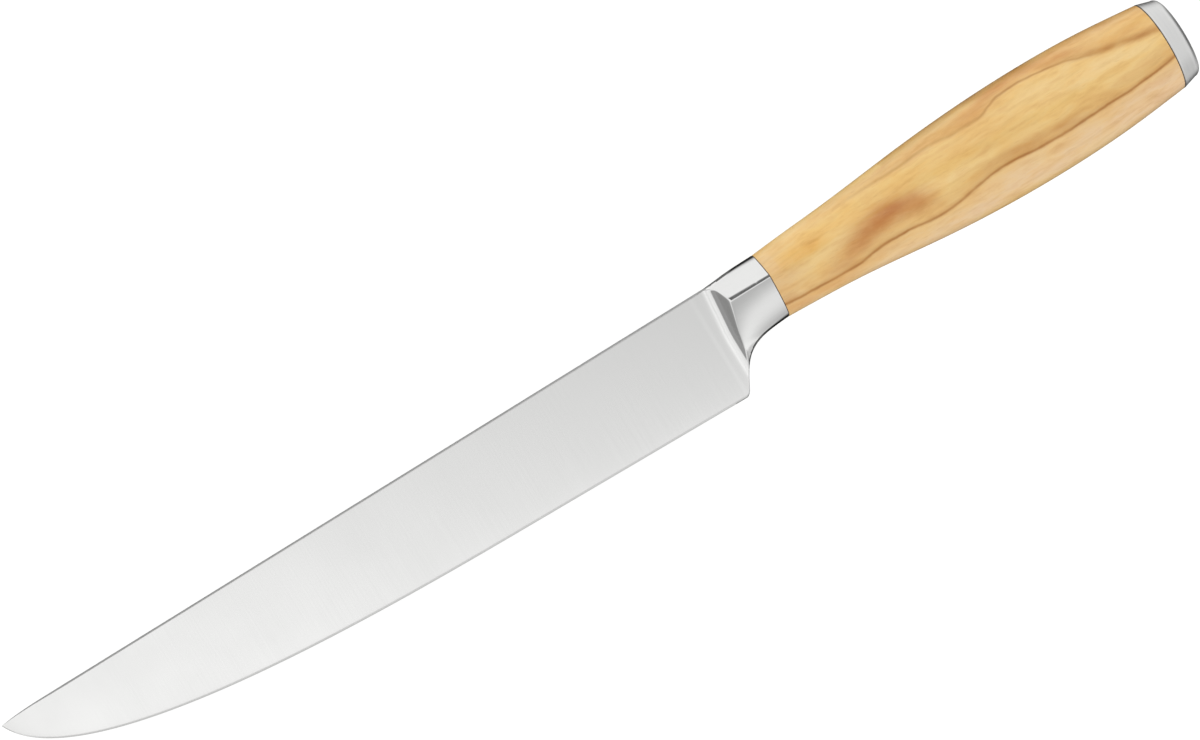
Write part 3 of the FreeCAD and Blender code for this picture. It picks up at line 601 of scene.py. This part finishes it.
class KNIFE_OT_blade(bpy.types.Operator):
    """Make the blade with its bolster and tang"""
    bl_idname = "knife.blade"
    bl_label = "Blade"

    def execute(self, context):
        sizes = context.scene.knife_blade
        joint_up, _, joint_half, crest = context.scene.knife_handle.joint
        ridge_round = context.scene.knife_handle.ridge_round
        step_x = -sizes.bolster_length
        heel_x = step_x - sizes.heel_lead
        stations, *outline = blade_outline(sizes, joint_up)
        ground_edge, low, high, bolster_top = (line[:, None] for line in outline)

        # Lines from edge to spine: even on the blade, with a few in its edges, and turned round the bolster
        room = high - low
        bevel = np.minimum(sizes.bevel_width, HEIGHT_SHARE * room)
        spine_round = np.minimum(sizes.spine_round, HEIGHT_SHARE * room)
        blade_y = np.hstack([
            low + bevel * np.linspace(0, 1, BEVEL_LINES),
            low + bevel + (room - bevel - spine_round) * np.linspace(0, 1, FACE_LINES + 2)[1:-1],
            high - spine_round * (1 - np.sin(np.linspace(0, math.pi / 2, ROUND_LINES))),
        ])
        under = (np.cos(np.linspace(math.pi, 0, CREST_LINE + 1)) - 1) / 2
        over = (1 - np.cos(np.linspace(0, math.pi, blade_y.shape[1] - CREST_LINE)))[1:] / 2
        bolster_y = np.hstack([crest + (crest - low) * under, crest + (high - crest) * over])
        turned = ease(*(step_x + LINES_TURN), stations)[:, None]
        y = blade_y + turned * (bolster_y - blade_y)
        x = np.broadcast_to(stations[:, None], y.shape)
        above_low = np.clip(y - low, 0, None)
        below_high = np.clip(high - y, 0, None)

        # The plate: a wedge, slightly convex, with its bevel, its eased heel and its eased spine
        rise = np.clip((y - ground_edge) / (sizes.spine_rise + sizes.heel_depth), 0, 1)
        plate = sizes.edge_land + (sizes.thickness / 2 - sizes.edge_land) * rise ** WEDGE_POWER
        bevel_slope = sizes.edge_land / sizes.bevel_width + BEVEL_SLACK
        bevelled = np.minimum(plate, THINNEST + above_low * bevel_slope)
        eased = eased_edge(plate, np.minimum(sizes.heel_ease, plate), above_low) + THINNEST
        plate = bevelled + ease(*(heel_x + HEEL_TURN), x) * (eased - bevelled)
        plate = eased_edge(plate, np.minimum(spine_round, THICKNESS_SHARE * plate), below_high)
        plate = np.maximum(plate * (1 - ease(*PLATE_END, x)), THINNEST)

        # The bulge of the bolster: a ridged egg that fades into the blade at its nose
        along = np.clip(1 - x / step_x, 0, 1)
        half = sizes.nose_half + (joint_half - sizes.nose_half) * along
        under = [nose + (joint - nose) * along for nose, joint in zip(NOSE_UNDER, RIDGE_UNDER)]
        bulge = ridged(y, crest, bolster_top, low, half, under, ridge_round * half / joint_half)
        fade = NOSE_FADE + (JOINT_FADE - NOSE_FADE) * ease(0, FADE_SHARE, along)
        stand = np.maximum(soft_max(bulge - plate, 0 * plate, fade) - soft_max(-plate, 0 * plate, fade), 0)

        # The step from blade to bolster: a hollow, whose slope grows as the cube of the run, then a slant
        slope = (sizes.nose_half - sizes.thickness / 2) / sizes.step_run
        hollow_x = step_x - sizes.step_run / 2 - 3 / 4 * sizes.step_hollow
        lean = math.tan(sizes.step_lean) * (y + sizes.step_bend)
        run = x - hollow_x - soft_max(lean, 0 * y, LEAN_ROUND)
        hollow = np.clip(run / sizes.step_hollow, 0, 1)
        step = slope * (sizes.step_hollow * hollow ** 4 / 4 + np.clip(run - sizes.step_hollow, 0, None))
        powers = sum(height ** STEP_SHARPNESS for height in (stand, step, NEXT_TO_NOTHING))
        z = plate + stand * step / powers ** (1 / STEP_SHARPNESS)
        near_side = np.stack([x, y, z], axis=2)
        loops = list(np.concatenate([near_side, near_side[:, ::-1] * (1, 1, -1)], axis=1))

        # The tang, flat and tapered, runs on inside the wood
        tang = rectangle_loop(loops[-1][:, 1:], BED_HALF - RESIN_WALL)
        loops += [at_station(0.0, tang), at_station(TANG_END, tang * (TANG_TAPER, 1))]
        skin = close_skin(loops)
        finishes = {GROUND: ground_steel(sizes.face_dull, sizes.face_bright), POLISHED: polished_steel(),
                    EASED_SHADED: eased_steel_painted_shade(), RIM: rim_steel_painted_shade(), HONED: honed_steel_painted_shade()}
        piece = new_piece("blade_forging", skin, finishes.values(), "blade")

        # Finishes by the middle of each face: satin blade, polish behind the hollow, eased spine and heel
        # darkened by painted shade, rims of the bolster in painted shade, honed bevel greyed by painted
        # shade
        polish_run = sizes.step_hollow * (math.tan(POLISH_SLOPE) / slope) ** (1 / 3)
        top_rim = sizes.shaded_rim_width * ease(*(step_x + RIM_TURN), x)
        spots = np.stack([x, run - polish_run, above_low - bevel, below_high - spine_round,
                          above_low - sizes.shaded_rim_width, below_high - top_rim])
        place, polish, edge, back, rim_under, rim_over = (
            spots[:, 1:, 1:] + spots[:, 1:, :-1] + spots[:, :-1, 1:] + spots[:, :-1, :-1]) / 4
        finish = np.where(polish > 0, POLISHED, GROUND)
        finish[(edge < 0) | (back < 0)] = EASED_SHADED
        finish[(rim_under < 0) & (polish > 0)] = RIM
        finish[rim_over < 0] = RIM
        finish[(edge < 0) & (place < heel_x + HONED_END)] = HONED
        rings = np.hstack([finish, finish[:, -1:], finish[:, ::-1], finish[:, :1]])
        chosen = np.full(len(piece.data.polygons), GROUND)
        chosen[:rings.size] = rings.ravel()
        piece.data.polygons.foreach_set("material_index", chosen.tolist())
        return {"FINISHED"}


def olive_wood(settings):
    """Olive wood, sanded and oiled: honey ground, wavy dark veins, a smudged knot and a silky gloss."""
    material, tree, place = new_material("olive_wood_oiled")
    x, y, z = add(tree, "ShaderNodeSeparateXYZ", [place]).outputs

    # The grain wanders in waves about 16 mm long with finer ripples on them, and its bands come and go
    slow = add(tree, "ShaderNodeVectorMath", [place, (0.06, 0.10, 0.10)], operation="MULTIPLY")
    wander = add(tree, "ShaderNodeTexNoise", {"Vector": slow, "Scale": 1.0, "Detail": 4.0,
                                              "Roughness": 0.55})
    sway = add(tree, "ShaderNodeMapRange", [wander, 0.0, 1.0, -1.0, 1.0])
    level = add(tree, "ShaderNodeMath", [y, sway], operation="ADD")
    depth = add(tree, "ShaderNodeMath", [z, GRAIN_DEPTH], operation="SUBTRACT")
    along = add(tree, "ShaderNodeMath", [x, GRAIN_LENGTH], operation="DIVIDE")
    patch_place = add(tree, "ShaderNodeVectorMath", [place, (0.14, 0.3, 0.3)], operation="MULTIPLY")
    patches = add(tree, "ShaderNodeTexNoise", {"Vector": patch_place, "Scale": 1.0, "Detail": 4.0})
    patches = add(tree, "ShaderNodeMapRange", [patches, 0.3, 0.65, 0.65, 1.1])

    # Ground: drifts of honey tone about 45 mm long
    drift_place = add(tree, "ShaderNodeVectorMath", [place, (0.022, 0.13, 0.13)], operation="MULTIPLY")
    drift = add(tree, "ShaderNodeTexNoise", {"Vector": drift_place, "Scale": 1.0, "Detail": 2.0})
    tone = add(tree, "ShaderNodeValToRGB", {"Fac": drift},
               stops=[(0.30, settings.wood_deep), (0.45, settings.wood_warm), (0.60, settings.wood_pale),
                      (0.75, settings.wood_soft)])

    # Bands of colour along each line of the grain
    for line, lean, bands in GRAIN:
        stops = [(line_x / GRAIN_LENGTH, line_y / (2 * GRAIN_SWING) + 0.5) for line_x, line_y in line]
        path = add(tree, "ShaderNodeFloatCurve", {"Value": along}, stops=stops)
        path = add(tree, "ShaderNodeMapRange", [path, 0.0, 1.0, -GRAIN_SWING, GRAIN_SWING])
        above = add(tree, "ShaderNodeMath", [level, path], operation="SUBTRACT")
        above = add(tree, "ShaderNodeMath", [depth, lean, above], operation="MULTIPLY_ADD")
        for offset, reach, colour, strengths in bands:
            away = add(tree, "ShaderNodeMath", [above, offset], operation="SUBTRACT")
            away = add(tree, "ShaderNodeMath", [away], operation="ABSOLUTE")
            share = add(tree, "ShaderNodeMapRange", [away, 0.0, reach, 1.0, 0.0], **SMOOTH)
            strength = add(tree, "ShaderNodeFloatCurve", {"Value": along},
                           stops=[(band_x / GRAIN_LENGTH, height) for band_x, height in strengths])
            for factor in (strength, patches):
                share = add(tree, "ShaderNodeMath", [share, factor], operation="MULTIPLY")
            tone = add(tree, "ShaderNodeMix", {0: share, 6: tone, 7: linear(colour)},
                       data_type="RGBA").outputs[2]

    # Streaks, mottling and pores tint it
    grain = add(tree, "ShaderNodeCombineXYZ", [x, level, z])
    marks = {}
    for name, (cells, detail, roughness, share, tints) in GRAIN_MARKS.items():
        stretched = add(tree, "ShaderNodeVectorMath", [grain, cells], operation="MULTIPLY")
        marks[name] = add(tree, "ShaderNodeTexNoise", {"Vector": stretched, "Scale": 1.0, "Detail": detail,
                                                       "Roughness": roughness})
        tint = add(tree, "ShaderNodeValToRGB", {"Fac": marks[name]},
                   stops=[(height, linear(colour)) for height, colour in tints])
        tone = add(tree, "ShaderNodeMix", {0: share, 6: tone, 7: tint}, data_type="RGBA",
                   blend_type="MULTIPLY").outputs[2]
    rough = add(tree, "ShaderNodeMapRange", [marks["streaks"], *NOISE_SPREAD, 0.48, 0.38])
    bump = add(tree, "ShaderNodeBump", {"Height": marks["pores"], "Strength": 0.08, "Distance": LINE_DEPTH})

    # The cured oil is a clear film. It takes the gloss over, and darkens where the wood turns away.
    return with_surface(material, {"Base Color": tone, "Roughness": rough, "Normal": bump,
                                   "Specular IOR Level": 0.1, "Coat Weight": 1.0, "Coat Roughness": 0.15})


def wood_section(settings, places):
    """Return the four sizes of the wood's section at places along X."""
    joint, palm, cap = (np.array(section) for section in (settings.joint, settings.palm, settings.cap))
    palm_x = WOOD_FRONT + PALM_SHARE * (WOOD_BACK - WOOD_FRONT)
    keys = [(WOOD_FRONT + along * (palm_x - WOOD_FRONT),
             joint + np.array((top, under, side, side)) * (palm - joint))
            for along, under, top, side in SWELL_SHARES]
    keys += [(palm_x + along * (WOOD_BACK - palm_x), palm + taper * (cap - palm))
             for along, taper in TAPER_SHARES]
    stations, sections = zip(*keys)
    return np.stack([spline(stations, values, places) for values in np.array(sections).T], axis=1)


class KNIFE_OT_handle(bpy.types.Operator):
    """Make the wooden handle, slotted for the tang and counterbored for the nut"""
    bl_idname = "knife.handle"
    bl_label = "Handle"

    def execute(self, context):
        settings = context.scene.knife_handle
        lead, inset = broken_edge(settings.edge_break)
        places = np.concatenate([
            WOOD_FRONT + lead,
            np.linspace(WOOD_FRONT + lead[-1], WOOD_BACK - lead[-1], WOOD_STATIONS)[1:-1],
            WOOD_BACK - lead[::-1],
        ])
        sections = wood_section(settings, places)
        sections[:BREAK_STATIONS, :3] -= inset[:, None]
        sections[-BREAK_STATIONS:, :3] -= inset[::-1, None]
        ridges = settings.ridge * (1 - ease(0.0, settings.ridge_run, places))
        loops = [at_station(place, egg_loop(section, ridge, settings.ridge_round))
                 for place, section, ridge in zip(places, sections, ridges)]

        # Inside: counterbore, stud bore and slot, back to the front face
        slot, bore, seat = wood_openings()
        slot_end = BED_HIGH.x - JOINT.x
        seat_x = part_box("clamp_washer")[0].x - JOINT.x
        inner = [(WOOD_BACK, seat), (seat_x, seat), (seat_x, bore), (slot_end, bore), (slot_end, slot),
                 (WOOD_FRONT, slot)]
        loops += [at_station(place, outline) for place, outline in inner]
        skin = close_skin(loops, ring_shaped=True)
        new_piece("handle_wood", skin, [olive_wood(settings)], "handle")
        return {"FINISHED"}


class KNIFE_OT_cap(bpy.types.Operator):
    """Make the steel cap on the butt"""
    bl_idname = "knife.cap"
    bl_label = "End cap"

    def execute(self, context):
        settings = context.scene.knife_handle
        front, butt = np.array(settings.cap), np.array(settings.butt)
        start, shoulder = CAP_FRONT + settings.edge_break, CAP_BACK - settings.cap_round
        stations = [(CAP_FRONT + lead, front - (inset, inset, inset, 0))
                    for lead, inset in zip(*broken_edge(settings.edge_break))]
        stations += [(start + share * (shoulder - start), front + share * (butt - front))
                     for share in np.linspace(0, 1, CAP_STATIONS)[1:]]
        for turn in np.linspace(0, math.pi / 2, RIM_STATIONS)[1:]:
            place = shoulder + settings.cap_round * math.sin(turn)
            inset = settings.cap_round * (1 - math.cos(turn))
            stations.append((place, butt - (inset, inset, inset, 0)))
        loops = [at_station(place, egg_loop(section)) for place, section in stations]
        for share in np.linspace(0, 1, BUTT_RINGS)[1:-1]:
            loops.append(at_station(CAP_BACK, (1 - share) * loops[-1][:, 1:]))
        new_piece("end_cap_steel", close_skin(loops), [brushed_steel()], "end_cap")
        return {"FINISHED"}


def bond_adhesive():
    """Epoxy adhesive, squeezed out and wiped: a dark, dull hairline, uneven where dust settled in it."""
    material, tree, place = new_material("epoxy_adhesive_wiped")
    # Smears are about 2 mm long
    smears = add(tree, "ShaderNodeTexNoise", {"Vector": place, "Scale": 0.5, "Detail": 4.0})
    tone = add(tree, "ShaderNodeValToRGB", {"Fac": smears},
               stops=[(0.3, linear("#3a322b")), (0.7, linear("#5d5044"))])
    rough = add(tree, "ShaderNodeMapRange", [smears, *NOISE_SPREAD, 0.5, 0.7])
    return with_surface(material, {"Base Color": tone, "Roughness": rough})


class KNIFE_OT_bond_lines(bpy.types.Operator):
    """Make the two adhesive films at the ends of the wood"""
    bl_idname = "knife.bond_lines"
    bl_label = "Bond lines"

    def execute(self, context):
        settings = context.scene.knife_handle
        material = bond_adhesive()
        slot, _, seat = wood_openings()
        films = {"front_bond_line": (settings.joint, settings.ridge, slot, 0.0, WOOD_FRONT),
                 "rear_bond_line": (settings.cap, 0.0, seat, WOOD_BACK, CAP_FRONT)}
        for node, (section, ridge, opening, front, back) in films.items():
            section = np.array(section)
            section[:3] -= FILM_INSET
            outer = egg_loop(section, ridge, settings.ridge_round)
            loops = [at_station(front, outer), at_station(back, outer), at_station(back, opening),
                     at_station(front, opening)]
            new_piece(f"{node}_film", close_skin(loops, ring_shaped=True), [material], node)
        return {"FINISHED"}


def cast_resin():
    """Epoxy resin, cast round the tang: amber, clouded by fine bubbles."""
    material, tree, place = new_material("epoxy_resin_cast")
    # Clouds are about 4 mm across and bubbles about 0.5 mm
    clouds = add(tree, "ShaderNodeTexNoise", {"Vector": place, "Scale": 0.25, "Detail": 5.0})
    bubbles = add(tree, "ShaderNodeTexVoronoi", {"Vector": place, "Scale": 2.0})
    tone = add(tree, "ShaderNodeValToRGB", {"Fac": clouds},
               stops=[(0.3, linear("#8f7040")), (0.7, linear("#b79a63"))])
    rough = add(tree, "ShaderNodeMapRange", [bubbles, 0.0, 1.0, 0.4, 0.25])
    return with_surface(material, {"Base Color": tone, "Roughness": rough})


class KNIFE_OT_inner_parts(bpy.types.Operator):
    """Give the hidden stud, washer, nut, dowels and resin their finishes"""
    bl_idname = "knife.inner_parts"
    bl_label = "Inner parts"

    def execute(self, context):
        steel, resin = turned_steel(), cast_resin()
        finishes = {"tang_stud": steel, "clamp_washer": steel, "clamp_nut": steel, "cap_dowels": steel,
                    "tang_bedding": resin}
        for node, finish in finishes.items():
            materials = NODES[node].data.materials
            materials.clear()
            materials.append(finish)
        return {"FINISHED"}


def set_camera(scene, settings):
    """Lean the camera towards the point of the blade, and turn the picture about the line of sight."""
    camera = bpy.data.objects.new("camera", bpy.data.cameras.new("camera"))
    camera.data.lens = settings.lens
    camera.data.sensor_width = 36.0
    camera.data.clip_start = 0.05
    camera.data.clip_end = 100.0
    camera.matrix_world = (Matrix.Translation(JOINT + Vector(settings.aim))
                           @ Matrix.Rotation(-settings.tilt, 4, "Y")
                           @ Matrix.Rotation(-settings.turn, 4, "Z")
                           @ Matrix.Translation((0, 0, settings.distance)))
    scene.collection.objects.link(camera)
    scene.camera = camera


def white_paper(glow):
    """Paper, bleached and matt: an even white with faint fibres. Its own glow keeps shadows pale."""
    material, tree, place = new_material("paper_sweep_white")
    # Paper fibres are about 0.1 mm thick. They are drawn 1 mm thick.
    fibres = add(tree, "ShaderNodeTexNoise", {"Vector": place, "Scale": 1.0, "Detail": 3.0})
    tone = add(tree, "ShaderNodeMix", {0: fibres, 6: linear("#7e7e7d"), 7: linear("#838382")},
               data_type="RGBA")
    rough = add(tree, "ShaderNodeMapRange", [fibres, 0.0, 1.0, 0.85, 0.95])
    material.cycles.emission_sampling = "NONE"
    return with_surface(material, {"Base Color": tone.outputs[2], "Roughness": rough,
                                   "Emission Color": linear("#ffffff"), "Emission Strength": glow})


def lay_floor(scene, settings):
    """Lay a wide disc of white paper that no gloss mirrors."""
    turns = np.linspace(0, 2 * math.pi, FLOOR_CORNERS, endpoint=False)
    radius = settings.floor_radius
    mesh = bpy.data.meshes.new("floor")
    mesh.from_pydata([(radius * math.cos(turn), radius * math.sin(turn), 0) for turn in turns], [],
                     [tuple(range(FLOOR_CORNERS))])
    mesh.materials.append(white_paper(settings.floor_glow))
    floor = bpy.data.objects.new("floor", mesh)
    scene.collection.objects.link(floor)
    floor.visible_glossy = False


def light_dome(scene, settings):
    """Light the stage with a soft white dome, dimmed where steel mirrors it. Cameras see plain white."""
    world = bpy.data.worlds.new("studio")
    world.use_nodes = True
    scene.world = world
    tree = world.node_tree
    tree.nodes.clear()
    toward = add(tree, "ShaderNodeTexCoord").outputs["Generated"]
    east, north, height = add(tree, "ShaderNodeSeparateXYZ", [toward]).outputs
    eastward = add(tree, "ShaderNodeMath", [east, 0.5, 0.5], operation="MULTIPLY_ADD")
    northward = add(tree, "ShaderNodeMath", [north, 0.5, 0.5], operation="MULTIPLY_ADD")

    # It fades below the horizon, which lies lower beyond the butt, and towards both ends of the knife
    lifted = add(tree, "ShaderNodeMath", [east, 0.0], operation="MAXIMUM")
    horizon = add(tree, "ShaderNodeMath", [lifted, 0.5, height], operation="MULTIPLY_ADD")
    dome = add(tree, "ShaderNodeMapRange", [horizon, -0.5, 0.0, 0.04, 1.0], **SMOOTH)
    ends = add(tree, "ShaderNodeFloatCurve", {"Value": eastward}, stops=DOME_ENDS)

    # Overhead it darkens towards butt and spine, which shades the blade's face from point to heel
    tilt = add(tree, "ShaderNodeMath", [east, -3.0], operation="MULTIPLY")
    tilt = add(tree, "ShaderNodeMath", [north, -2.5, tilt], operation="MULTIPLY_ADD")
    tilt = add(tree, "ShaderNodeMath", [tilt, 0.15], operation="MINIMUM")
    zenith = add(tree, "ShaderNodeMapRange", [height, 0.92, 0.98], **SMOOTH)
    lean = add(tree, "ShaderNodeMath", [tilt, zenith, 1.0], operation="MULTIPLY_ADD")

    # A slot across it draws the dark line along the bolster's ridge
    slot = add(tree, "ShaderNodeFloatCurve", {"Value": northward}, stops=DOME_SLOT)
    aside = add(tree, "ShaderNodeMath", [east, SLOT_MIDDLE], operation="SUBTRACT")
    aside = add(tree, "ShaderNodeMath", [aside], operation="ABSOLUTE")
    inside = add(tree, "ShaderNodeMapRange", [aside, 0.05, 0.09, 1.0, 0.0], **SMOOTH)
    upward = add(tree, "ShaderNodeMath", [height, 0.0], operation="GREATER_THAN")
    for factor in (inside, upward):
        slot = add(tree, "ShaderNodeMath", [slot, factor], operation="MULTIPLY")
    level = add(tree, "ShaderNodeMath", [1.0, slot], operation="SUBTRACT")

    # Shade on the edge's side models the bolster's lower flank
    shade = add(tree, "ShaderNodeFloatCurve", {"Value": northward}, stops=DOME_SHADE)
    beside = add(tree, "ShaderNodeMath", [east], operation="ABSOLUTE")
    beside = add(tree, "ShaderNodeMapRange", [beside, 0.3, 0.5, 1.0, 0.0], **SMOOTH)
    shade = add(tree, "ShaderNodeMath", [shade, beside], operation="MULTIPLY")
    shade = add(tree, "ShaderNodeMath", [1.0, shade], operation="SUBTRACT")

    # Two of its corners are dimmer, so that the blade stands out from the floor when it is seen from behind
    corner = add(tree, "ShaderNodeMath", [east, north], operation="MULTIPLY")
    corner = add(tree, "ShaderNodeMapRange", [corner, -0.38, -0.45, 1.0, 0.6], **SMOOTH)

    for factor in (shade, dome, ends, lean, corner, settings.light):
        level = add(tree, "ShaderNodeMath", [level, factor], operation="MULTIPLY")
    light = add(tree, "ShaderNodeBackground", {"Color": linear("#ffffff"), "Strength": level})
    plain = add(tree, "ShaderNodeBackground", {"Color": linear("#ffffff"), "Strength": 1.0})
    path = add(tree, "ShaderNodeLightPath")
    shown = add(tree, "ShaderNodeMixShader", [path.outputs["Is Camera Ray"], light, plain])
    add(tree, "ShaderNodeOutputWorld", {"Surface": shown})
    scene.view_settings.view_transform = "Standard"


class KNIFE_OT_stage(bpy.types.Operator):
    """Make the floor, the light and the camera"""
    bl_idname = "knife.stage"
    bl_label = "Stage"

    def execute(self, context):
        scene, settings = context.scene, context.scene.knife_stage
        set_camera(scene, settings)
        lay_floor(scene, settings)
        light_dome(scene, settings)
        return {"FINISHED"}


class KNIFE_PT_panel(bpy.types.Panel):
    """List the knife's pieces and settings"""
    bl_idname = "KNIFE_PT_panel"
    bl_label = "Carving Knife"
    bl_space_type = "VIEW_3D"
    bl_region_type = "UI"
    bl_category = "Knife"

    def draw(self, context):
        for operator in OPERATORS:
            self.layout.operator(operator.bl_idname)
        for settings in (context.scene.knife_blade, context.scene.knife_handle, context.scene.knife_stage):
            box = self.layout.box()
            for name in settings.__annotations__:
                box.prop(settings, name)


SETTINGS = {"knife_blade": KnifeBladeSettings, "knife_handle": KnifeHandleSettings,
            "knife_stage": KnifeStageSettings}
OPERATORS = (KNIFE_OT_blade, KNIFE_OT_bond_lines, KNIFE_OT_handle, KNIFE_OT_cap, KNIFE_OT_inner_parts,
             KNIFE_OT_stage)


def register():
    """Register the classes and hang the settings on the scene."""
    for kind in (*SETTINGS.values(), *OPERATORS, KNIFE_PT_panel):
        bpy.utils.register_class(kind)
    for name, kind in SETTINGS.items():
        setattr(bpy.types.Scene, name, PointerProperty(type=kind))


def unregister():
    """Take the settings off the scene and unregister the classes."""
    for name in SETTINGS:
        delattr(bpy.types.Scene, name)
    for kind in reversed((*SETTINGS.values(), *OPERATORS, KNIFE_PT_panel)):
        bpy.utils.unregister_class(kind)


def main():
    """Build the knife and its stage."""
    register()
    bpy.ops.knife.blade()
    bpy.ops.knife.bond_lines()
    bpy.ops.knife.handle()
    bpy.ops.knife.cap()
    bpy.ops.knife.inner_parts()
    bpy.ops.knife.stage()


if __name__ == "__main__":
    main()
